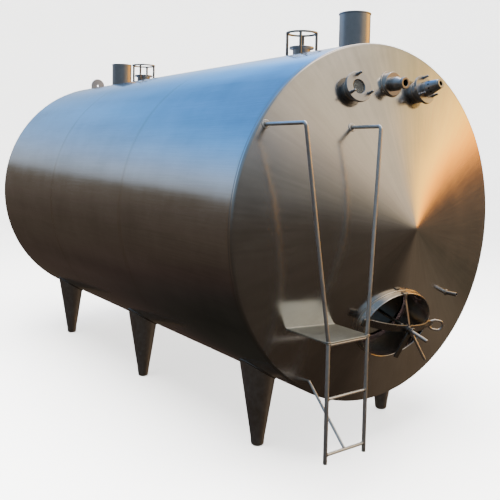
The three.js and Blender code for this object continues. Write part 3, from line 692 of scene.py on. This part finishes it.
rail_top_y, rail_top_z = -1.9555, 1.689
for side, top_x in (("left", -0.7484), ("right", -0.3004)):
    x = post_x[side]
    axes = seat_on_head(top_x, rail_top_z - axis_height)[1]
    on_head = head_skin(np.hypot(top_x, rail_top_z - axis_height))
    line = rounded([
        (x, post_y, plate_high[2] + 0.0005), (top_x, rail_top_y, rail_top_z),
        (top_x, on_head + 0.004, rail_top_z),
    ], [0, 0.014, 0], 10)
    line = np.insert(line, 1, line[0] + (line[1] - line[0]) * [[0.03], [0.5]], 0)
    pad = rounded([
        (0, -0.003), (0.021, -0.003), (0.021, 0.0035), (0, 0.0035),
    ], [0, 0, 0.002, 0], 3)
    fitted("handrail_" + side, [
        tube(line, 0.009, 24), turned(pad, (top_x, on_head, rail_top_z), axes, 48),
        bead_round(circle((top_x, on_head - 0.005, rail_top_z), 0.0095, 16, ALONG), 0.003, 9),
        bead_round(circle((x, post_y, plate_high[2] + 0.001), 0.0095, 16), 0.003, 9),
    ], frame_steel)
brace_from = np.array([-0.5052, post_y + 0.006, 0.2455])
brace_to = np.array([-0.4572, -1.683, 0.4545])
brace = [brace_from * near + brace_to * far
         for near, far in ((1, 0), (0.97, 0.03), (0.05, 0.95), (0, 1))]
fitted("ladder_brace", [tube(brace, 0.0068, 20)], frame_steel)


# ---------------------------------------------------------------- crown fittings
# Two blind vent stubs with flat lids, and two agitator seats, each an open ring on
# four pins round a flanged collar. All are welded on the crown of the barrel.
stand_steel = finish_of("stand_steel", (0.34, 0.33, 0.30), 0.36, 0.8,
                        weld_colour=(0.45, 0.42, 0.36))
fitting_steel = finish_of("fitting_steel", (0.52, 0.52, 0.52), 0.33, 0.7, depth=0.00001)
crown_top = axis_height + barrel_radius


def on_crown(x):
    """Height of the barrel's skin: the axis height plus the root of the radius squared
    minus x squared."""
    return axis_height + np.sqrt(barrel_radius ** 2 - np.square(x))


for place in ("front", "rear"):
    low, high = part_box("vent_" + place + "_body")
    y, top = (low[1] + high[1]) / 2, high[2]
    body_line = rounded([
        (0, crown_top - 0.010), (0.083, crown_top - 0.010), (0.083, top), (0, top),
    ], [0, 0, 0.002, 0], 3)
    saddle = circle((0, y, 0), 0.084, 96)
    saddle[:, 2] = on_crown(saddle[:, 0]) + 0.001
    fitted("vent_" + place + "_body", [
        turned(body_line, (0, y, 0), UPRIGHT, 96), bead_round(saddle, 0.004, 45),
    ], fitting_steel)
    low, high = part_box("vent_" + place + "_lid")
    top = high[2]
    lid = turned(rounded([
        (0, low[2]), (0.086, low[2]), (0.086, top), (0.078, top), (0.070, top - 0.0025),
        (0, top - 0.0025),
    ], [0, 0.001, 0.003, 0.001, 0.002, 0], 4), (0, y, 0), UPRIGHT, 96)
    fitted("vent_" + place + "_lid", [lid], fitting_steel)

    low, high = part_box("agitator_stand_" + place)
    y, top = (low[1] + high[1]) / 2, high[2]
    ring_line = rounded([
        (0.078, top - 0.010), (0.094, top - 0.010), (0.094, top), (0.078, top),
    ], 0.0018, 3, ring=True)
    parts = [turned(ring_line, (0, y, 0), UPRIGHT, 96)]
    for x, pin_y, _ in circle((0, y, 0), 0.086, 4, start=math.pi / 4):
        base = float(on_crown(x))
        heights = (base - 0.002, base + 0.02, top - 0.006)
        parts.append(tube([(x, pin_y, z) for z in heights], 0.008, 20))
        parts.append(bead_round(circle((x, pin_y, base + 0.002), 0.009, 24), 0.0028, 8))
    fitted("agitator_stand_" + place, parts, stand_steel)
    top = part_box("agitator_collar_" + place)[1][2]
    collar = rounded([
        (0.038, crown_top - 0.004), (0.052, crown_top - 0.004), (0.052, top - 0.012),
        (0.072, top - 0.012), (0.072, top), (0.038, top),
    ], [0, 0, 0.003, 0.0012, 0.002, 0.002], 4, ring=True)
    # A thin disc down in the collar's bore, in painted shade.
    bore = [(0, crown_top + 0.004), (0.0385, crown_top + 0.004),
            (0.0385, crown_top + 0.002), (0, crown_top + 0.002)]
    nut = rounded([(0, 0), (0.0065, 0), (0.0065, 0.0045), (0, 0.0045)], [0, 0, 0.001, 0], 2)
    nut_spots = circle((0, y, top - 0.0052), 0.062, 6, start=math.pi / 6)
    fitted("agitator_collar_" + place, [
        turned(collar, (0, y, 0), UPRIGHT, 72), (turned(bore, (0, y, 0), UPRIGHT, 72), -1.0),
        *(turned(nut, spot, UPRIGHT, 6) for spot in nut_spots),
    ], fitting_steel)


# ---------------------------------------------------------------- lifting lugs
# Two half-round plates with a hole, flame-cut and welded upright on the crown near
# the rear head.
def lug_outline(angle, half_width, below):
    """How far the lug's edge is from its hole's middle: the half-round above, and
    below it the straight sides and the straight foot."""
    c, s = np.abs(np.cos(angle)), np.sin(angle)
    straight = np.minimum(half_width / np.maximum(c, 1e-6), below / np.maximum(-s, 1e-6))
    return np.where(s >= 0, half_width, straight)


half_thick, ease = 0.006, 0.0012
flat_part = 1 - ease / half_thick
foot_corner = math.atan2(0.03, 0.06)
for side, x in (("left", -0.105), ("right", 0.105)):
    low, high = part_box("lifting_lug_" + side)
    y, z = (low[1] + high[1]) / 2, high[2] - 0.060
    b = np.unique(np.concatenate([
        np.linspace(0, 2 * np.pi, 97), [np.pi + foot_corner, 2 * np.pi - foot_corner],
    ]))
    edge = lug_outline(b, 0.060, z - low[2] + 0.006)
    rows = []
    for outward, front, cut in (
        (0, 1, 1), (1, 1, -1), (1, flat_part, 0), (1, -flat_part, 0),
        (1, -1, -1), (0, -1, 1), (0, -flat_part, 0), (0, flat_part, 0),
    ):
        radius = np.where(outward, edge, 0.0095) + cut * ease
        rows.append(np.stack([
            x + radius * np.cos(b), y + front * half_thick + 0 * b, z + radius * np.sin(b),
        ], -1))
    lug = np.stack(rows + rows[:1])
    foot_x = x + np.linspace(-0.058, 0.058, 40)
    ripples = 1 + 0.1 * np.sin(np.linspace(0, 150, 40))
    welds = [
        (tube(np.stack([foot_x, np.full(40, y + out), on_crown(foot_x) + 0.001], -1),
              0.0035 * ripples, 10), 1.0)
        for out in (-0.007, 0.007)
    ]
    fitted("lifting_lug_" + side, [lug, *welds], frame_steel)


# ---------------------------------------------------------------- round ports
# A sight glass and a lamp, each on a short pipe welded square to the head, with a
# loose flange held by three studs. The lamp's housing tapers to a cable socket.
def stud(at, axes, reach):
    """A washer, a nut and the domed end of the stud, turned as one."""
    line = rounded([
        (0, -0.002), (0.0105, -0.002), (0.0105, 0.002), (0.0078, 0.002), (0.0078, 0.013),
        (0.0062, 0.0135), (0.0062, reach), (0, reach),
    ], [0, 0, 0.001, 0, 0.001, 0, 0.0045, 0], 4)
    return turned(line, at, axes, 24)


def cup(mouth, outer, inner, brim, deep):
    """The profile of a thin cup that lines a bore: its brim and its half-millimetre
    floor are measured down from the mouth."""
    return [(0, mouth - deep), (outer, mouth - deep), (outer, mouth - brim),
            (inner, mouth - brim), (inner, mouth - deep + 0.0005), (0, mouth - deep + 0.0005)]


# The pane is near black: painted shade of the tank's unlit inside, seen through the glass.
sight_glass, glass = material("sight_glass_shaded")
patchy = glass.noise(glass.node("TexCoord")[3], 30.0, 4.0)
glass.surface({
    "Base Color": patchy.within(0.3, 0.8).blend((0.006, 0.007, 0.008), (0.020, 0.021, 0.020)),
    "Roughness": 0.05 + patchy * 0.10, "Metallic": 0.0, "IOR": 1.5,
})
glass_seat, lamp_seat = seat_on_head(-0.262, 0.672), seat_on_head(0.206, 0.690)
flange_lines = {
    "sight_glass": ([(0.044, 0.034), (0.075, 0.034), (0.075, 0.050), (0.037, 0.050),
                     (0.034, 0.0462), (0.034, 0.0443), (0.044, 0.0443)],
                    [0, 0.0025, 0.0025, 0.001, 0, 0, 0]),
    "lamp": ([(0.0393, 0.034), (0.075, 0.034), (0.075, 0.050), (0.0393, 0.050)], 0.0015),
}
neck_section = rounded([
    (0.044, -0.016), (0.052, -0.016), (0.052, 0.0337), (0.044, 0.0337),
], [0, 0, 0.001, 0.001], 3, ring=True)
for name, (at, axes) in (("sight_glass", glass_seat), ("lamp", lamp_seat)):
    foot = projected_on_head(circle(at, 0.053, 96, axes), axes[2]) + 0.001 * axes[2]
    fitted(name + "_neck", [turned(neck_section, at, axes, 72), bead_round(foot, 0.0045, 50)],
           fitting_steel)
    flange = rounded(*flange_lines[name], 4, ring=True)
    stud_spots = circle(at + 0.050 * axes[2], 0.062, 3, axes, math.pi / 2)
    fitted(name + "_flange", [
        turned(flange, at, axes, 96), *(stud(spot, axes, 0.034) for spot in stud_spots),
    ], fitting_steel)
pane = rounded([(0, 0.0345), (0.0437, 0.0345), (0.0437, 0.0437), (0, 0.0437)],
               [0, 0.001, 0.001, 0], 3)
fitted("sight_glass_pane", [turned(pane, *glass_seat, 72)], sight_glass)

at, axes = lamp_seat
end = 0.050 + 0.096
housing = rounded([
    (0, 0.0345), (0.039, 0.0345), (0.039, 0.0665), (0.0375, 0.068), (0.0375, 0.0725),
    (0.0385, 0.074), (0.026, end - 0.012), (0.0215, end - 0.006), (0.024, end - 0.0055),
    (0.024, end), (0.0125, end), (0.0125, end - 0.030), (0, end - 0.030),
], [0, 0.001, 0.001, 0, 0, 0.002, 0.004, 0.001, 0.001, 0.001, 0.001, 0.001, 0], 4)
# The socket's bore is lined with a thin cup in painted shade.
socket = turned(cup(end, 0.0122, 0.0119, 0.004, 0.0295), at, axes, 40)
parts = [turned(housing, at, axes, 72), (socket, -1.0)]
lean = math.atan2(0.0385 - 0.026, end - 0.012 - 0.074)
# Ten vents, drawn as thin discs in painted shade.
vent_line = [(0, -0.001), (0.0042, -0.001), (0.0042, 0.0003), (0, 0.0003)]
for spot in circle(at + 0.092 * axes[2], 0.0346, 10, axes, 0.3):
    radial = (spot - at - 0.092 * axes[2]) / 0.0346
    out = math.cos(lean) * radial + math.sin(lean) * axes[2]
    cross = np.cross(out, radial)
    cross /= np.linalg.norm(cross)
    vent_axes = [cross, np.cross(out, cross), out]
    parts.append((turned(vent_line, spot, vent_axes, 16), -1.0))
fitted("lamp_housing", parts, fitting_steel)


# ---------------------------------------------------------------- filling nozzle
# A stout pipe straight out along the tank, through a round reinforcing pad, with a
# narrower neck and the ring of a screwed union at its mouth.
nozzle_x, nozzle_rise = -0.006, 0.716
nozzle_at = (nozzle_x, 0.0, axis_height + nozzle_rise)
FORWARD = np.array([[1.0, 0, 0], [0, 0, 1.0], [0, -1.0, 0]])
root = -head_skin(math.hypot(nozzle_x, nozzle_rise))
pad_face = -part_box("nozzle_pad")[0][1] - 0.004
pad_line = rounded([
    (0.0353, root - 0.03), (0.061, root - 0.03), (0.061, pad_face), (0.0353, pad_face),
], [0, 0, 0.003, 0.001], 4, ring=True)


def weld_on_head(at, radius, size, ripples):
    """A bead round a fitting that leaves the front head straight out: a circle whose
    y is the head's skin."""
    foot = circle(at, radius, 96, FORWARD)
    foot[:, 1] = head_skin(np.hypot(foot[:, 0], foot[:, 2] - axis_height)) - 0.001
    return bead_round(foot, size, ripples)


fitted("nozzle_pad", [
    turned(pad_line, nozzle_at, FORWARD, 96), weld_on_head(nozzle_at, 0.062, 0.004, 50),
], head_steel)
mouth = -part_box("nozzle_body")[0][1]
nozzle_line = rounded([
    (0.0165, root - 0.02), (0.035, root - 0.02), (0.035, mouth - 0.052), (0.022, mouth - 0.026),
    (0.022, mouth - 0.014), (0.030, mouth - 0.014), (0.030, mouth), (0.0165, mouth),
], [0, 0, 0.008, 0.006, 0.002, 0.0015, 0.0025, 0.002], 5, ring=True)
# The bore is lined with a thin cup in painted shade.
fitted("nozzle_body", [
    turned(nozzle_line, nozzle_at, FORWARD, 72),
    (turned(cup(mouth, 0.0166, 0.0161, 0.006, 0.040), nozzle_at, FORWARD, 48), -1.0),
], fitting_steel)


# ---------------------------------------------------------------- thermometer pocket
# A short tube low on the right of the head, closed at its root and open in front for
# the probe, with a heavy weld round its foot.
low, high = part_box("thermometer_pocket")
pocket_at = ((low[0] + high[0]) / 2, 0.0, (low[2] + high[2]) / 2)
root, mouth = -high[1], -low[1]
pocket = rounded([
    (0, root), (0.011, root), (0.011, mouth), (0.006, mouth), (0.006, mouth - 0.03),
    (0, mouth - 0.03),
], [0, 0, 0.0015, 0.001, 0, 0], 4)
# The bore is lined with a thin cup in painted shade.
fitted("thermometer_pocket", [
    turned(pocket, pocket_at, FORWARD, 40),
    (turned(cup(mouth, 0.0058, 0.0055, 0.003, 0.0295), pocket_at, FORWARD, 24), -1.0),
    weld_on_head(pocket_at, 0.0125, 0.0045, 14),
], fitting_steel)


# ---------------------------------------------------------------- manhole
# An oval neck of thick polished plate, and a dished door that is drawn up against it
# from inside: the door's threaded stud runs out through a bowed yoke bar.
polished_steel = finish_of("polished_steel", (0.86, 0.82, 0.76), 0.24, 0.7, depth=0.00001)
neck_end, lip = -0.132, 0.034  # the neck's inner end, and its lip outside the head
opening_half = np.array([0.238, 0.171])
a = np.linspace(0, 2 * np.pi, 241)
oval = np.stack([np.cos(a), np.sin(a)], -1)


def oval_ring(profile):
    """Each (outset, height) of the profile goes round the manhole's oval: the two half
    axes grow by the outset, and the height is measured out along the neck."""
    profile = np.array(profile, float)
    half = opening_half + profile[:, 0, None, None]
    level_part = (oval * half) @ manhole_axes[:2]
    return manhole_at + level_part + profile[:, 1, None, None] * manhole_axes[2]


neck_line = rounded([(0, neck_end), (0.006, neck_end), (0.006, lip), (0, lip)],
                    [0, 0, 0.0028, 0.0028], 5, ring=True)
# Its inside gets painted shade, darkest under the top.
inside = ((neck_line[:, 0] < 0.003) & (neck_line[:, 1] < 0.028))[:, None]
shade = inside * (-0.56 - 0.26 * np.sin(a))
fitted("manhole_neck", [(oval_ring(neck_line), shade)], polished_steel)

rubber, seal_mix = material("gasket_rubber")
bloom = seal_mix.noise(seal_mix.node("TexCoord")[3], 45.0, 5.0, 0.6)
pores = seal_mix.node("Bump", None, {"Strength": 0.3, "Distance": 0.001, "Height": bloom})[0]
seal_mix.surface({
    "Base Color": bloom.within(0.35, 0.75).blend((0.022, 0.013, 0.012), (0.060, 0.030, 0.027)),
    "Roughness": 0.62 + bloom * 0.25, "Metallic": 0.0, "Normal": pores,
})
gasket_line = rounded([
    (-0.016, -0.1403), (0.006, -0.1403), (0.006, -0.1323), (-0.016, -0.1323),
], 0.003, 4, ring=True)
fitted("manhole_gasket", [oval_ring(gasket_line)], rubber)

# The door: a shallow dish and a flat back, as ovals of (share of the rim, height).
door_top, door_half = -0.1406, np.array([0.258, 0.191])
door_rows = [
    (share, door_top - 0.0006 - 0.006 * (1 - share ** 2))
    for share in (0.0, 0.12, 0.25, 0.4, 0.55, 0.7, 0.8, 0.86, 0.9, 0.94, 0.98, 1.0)
]
door_rows += [(share, door_top - 0.0118) for share in (1.0, 0.5, 0.0)]
door_grid = np.array([
    manhole_at + (oval * share * door_half) @ manhole_axes[:2] + up * manhole_axes[2]
    for share, up in door_rows
])
stud_axis = manhole_at + 0.016 * manhole_axes[1]
stud_tip = 0.2288


def threaded(start, finish, radius, pitch, sides=24):
    """A screw: the radius dips by 7.5 per cent once a pitch, the dip goes once round in
    each pitch, and both ends are tapered by a fifth."""
    start, finish = np.array(start, float), np.array(finish, float)
    length = np.linalg.norm(finish - start)
    run = (finish - start) / length
    side = np.cross(run, manhole_axes[0] + 0.3 * manhole_axes[1])
    side /= np.linalg.norm(side)
    other = np.cross(run, side)
    h = np.linspace(0, length, int(length / pitch * 7) + 2)[:, None]
    b = np.linspace(0, 2 * np.pi, sides + 1)
    fade = np.clip(np.minimum(h, length - h) / (1.5 * pitch), 0, 1)
    dip = 0.075 * (0.5 + 0.5 * np.cos(2 * np.pi * h / pitch - b))
    wide = radius * (1 - dip - 0.2 * (1 - fade) ** 2)
    wide[:, -1] = wide[:, 0]
    ring = np.cos(b)[:, None] * side + np.sin(b)[:, None] * other
    skin = start + h[..., None] * run + wide[..., None] * ring
    poles = [np.broadcast_to(end, (1, sides + 1, 3)) for end in (start, finish)]
    return np.concatenate([poles[0], skin, poles[1]])


screw = threaded(stud_axis + (door_top - 0.006) * manhole_axes[2],
                 stud_axis + stud_tip * manhole_axes[2], 0.009, 0.003)
# The door's near-black colour is painted shade of the recess it sits in.
shaded_door_steel = finish_of("shaded_door_steel", (0.15, 0.14, 0.12), 0.30, 0.8, depth=0.00001,
                       weld_colour=(0.86, 0.81, 0.76))
# The stud's outer part is bright from use; the rest of it, down in the recess, gets painted
# shade.
polish_and_shade = np.where(np.linspace(0, 1, len(screw)) > 0.55, 0.9, -0.5)[:, None]
fitted("manhole_door", [door_grid, (screw, polish_and_shade)], shaded_door_steel)


def flat_bar(path, across, width, thickness, ease):
    """A rectangle with eased edges carried along a path: its width lies across, and
    its thickness along the cross product of the run and that. Ends are eased too."""
    path, across = np.array(path, float), np.array(across, float)
    run = np.gradient(path, axis=0)
    run /= np.linalg.norm(run, axis=1)[:, None]
    up = np.cross(run, across)
    up /= np.linalg.norm(up, axis=1)[:, None]
    w, h = width / 2, thickness / 2
    box_line = rounded([(-w, -h), (w, -h), (w, h), (-w, h)], ease, 4, ring=True)

    def rows(at, up, inset):
        scale = np.array([1 - inset / w, 1 - inset / h])
        flat = box_line * scale
        return at + flat[:, :1] * across + flat[:, 1:] * up

    ends = []
    for k, way in ((0, 1), (-1, -1)):
        for angle in np.linspace(0, math.pi / 2, 4):
            inset = way * ease * (1 - math.cos(angle))
            ends.append(rows(path[k] + run[k] * inset, up[k], ease * (1 - math.sin(angle))))
    body = [rows(at, u, 0.0) for at, u in zip(path[1:-1], up[1:-1])]
    poles = [np.broadcast_to(path[k], (len(box_line), 3)) for k in (0, -1)]
    return np.array([poles[0], *ends[:4], *body, *ends[:3:-1], poles[1]])


# The yoke: a flat bar bowed over the lip, its flat ends on the lip, with a grip of
# round bar at the right end.
yoke_steel = finish_of("yoke_steel", (0.36, 0.335, 0.305), 0.30, 0.9, depth=0.00001,
                       weld_colour=(0.88, 0.83, 0.78))
yoke_turn = math.radians(-9)
yoke_axes = np.array([
    math.cos(yoke_turn) * manhole_axes[0] + math.sin(yoke_turn) * manhole_axes[1],
    math.cos(yoke_turn) * manhole_axes[1] - math.sin(yoke_turn) * manhole_axes[0],
    manhole_axes[2],
])
bar_seat = 0.0412  # the bar's middle line where it lies on the lip
bar_top = 0.0952
q = np.linspace(0, 1, 24)[:, None]
arch = (1 - q) ** 2 * [-0.224, bar_seat] + 2 * q * (1 - q) * [-0.137, bar_top]
arch = arch + q ** 2 * [0, bar_top]
left_half = np.vstack([[(x, bar_seat) for x in (-0.274, -0.250, -0.236)], arch])
bow = np.vstack([left_half, left_half[-2::-1] * [-1, 1]])
bow[1:-1, 1] = (bow[:-2, 1] + 2 * bow[1:-1, 1] + bow[2:, 1]) / 4
yoke_path = stud_axis + bow[:, :1] * yoke_axes[0] + bow[:, 1:] * yoke_axes[2]
boss = rounded([(0.0096, 0.0885), (0.024, 0.0885), (0.024, 0.1026), (0.0096, 0.1026)],
               [0, 0, 0.0015, 0], 3, ring=True)
lean = math.radians(20)
grip_out = 0.084 * np.array([math.cos(lean), 0, math.sin(lean)])
grip_line = rounded(np.array([0.249, 0, 0.041]) + [
    part * grip_out + [0, across, 0]
    for part, across in ((0, -0.013), (0.3, -0.026), (1, -0.026), (1, 0.026), (0.3, 0.026),
                         (0, 0.013))
], [0, 0.012, 0.0255, 0.0255, 0.012, 0], 10)
fitted("manhole_yoke", [
    flat_bar(yoke_path, yoke_axes[1], 0.038, 0.0136, 0.0032),
    turned(boss, stud_axis, manhole_axes, 48),
    (tube(stud_axis + grip_line @ yoke_axes, 0.006, 20), 0.8),
], yoke_steel)

# The hanger: a clip over the top of the lip, and a thin strap down to the yoke.
clip_steel = finish_of("clip_steel", (0.40, 0.38, 0.35), 0.40, 0.6, depth=0.00001)
clip_line = rounded([(0.1805, 0.016), (0.1805, 0.0365), (0.168, 0.0365)], [0, 0.004, 0], 6)
strap_line = rounded([(0.176, 0.0375), (0.150, 0.044), (0.040, 0.1035), (0.0365, 0.1045)],
                     [0, 0.03, 0.02, 0], 6)
clip_path, strap_path = [manhole_at + line @ manhole_axes[1:] for line in (clip_line, strap_line)]
fitted("manhole_hanger", [
    flat_bar(clip_path, manhole_axes[0], 0.034, 0.0046, 0.0014),
    flat_bar(strap_path, manhole_axes[0], 0.012, 0.0038, 0.0012),
], clip_steel)


# ---------------------------------------------------------------- manhole handle
# The nut that draws the door up: a turned hub on the stud's thread, with a flat
# lever and a longer screwed rod to turn it by. It spins on the stud.
hub_low, hub_high = 0.1029, 0.1367
hub_line = rounded([
    (0.0096, hub_low), (0.021, hub_low), (0.021, hub_low + 0.008), (0.0185, hub_low + 0.0095),
    (0.0185, hub_high - 0.0095), (0.021, hub_high - 0.008), (0.021, hub_high),
    (0.0096, hub_high),
], [0.0005, 0.0015, 0.0008, 0.0008, 0.0008, 0.0008, 0.002, 0.0008], 3, ring=True)
hub_middle = stud_axis + (hub_low + hub_high) / 2 * manhole_axes[2]


def down_from_hub(degrees):
    """The direction that lies flat on the head, turned from straight down it."""
    angle = math.radians(degrees)
    return math.sin(angle) * manhole_axes[0] - math.cos(angle) * manhole_axes[1]


lever_run = down_from_hub(-24)
lever_side = np.cross(manhole_axes[2], lever_run)
lever_path = [hub_middle + d * lever_run for d in (0.014, 0.03, 0.10, 0.14, 0.152)]
arm_tip = hub_middle + 0.215 * down_from_hub(38) + 0.034 * manhole_axes[2]
arm_run = (arm_tip - hub_middle) / np.linalg.norm(arm_tip - hub_middle)
fitted("manhole_handle", [
    turned(hub_line, stud_axis, manhole_axes, 64),
    # The lever's colour is drawn nearly to black.
    (flat_bar(lever_path, lever_side, 0.033, 0.009, 0.0022), -0.45),
    (threaded(hub_middle + 0.013 * arm_run, arm_tip, 0.007, 0.0035), 0.9),
], yoke_steel, body="handle")
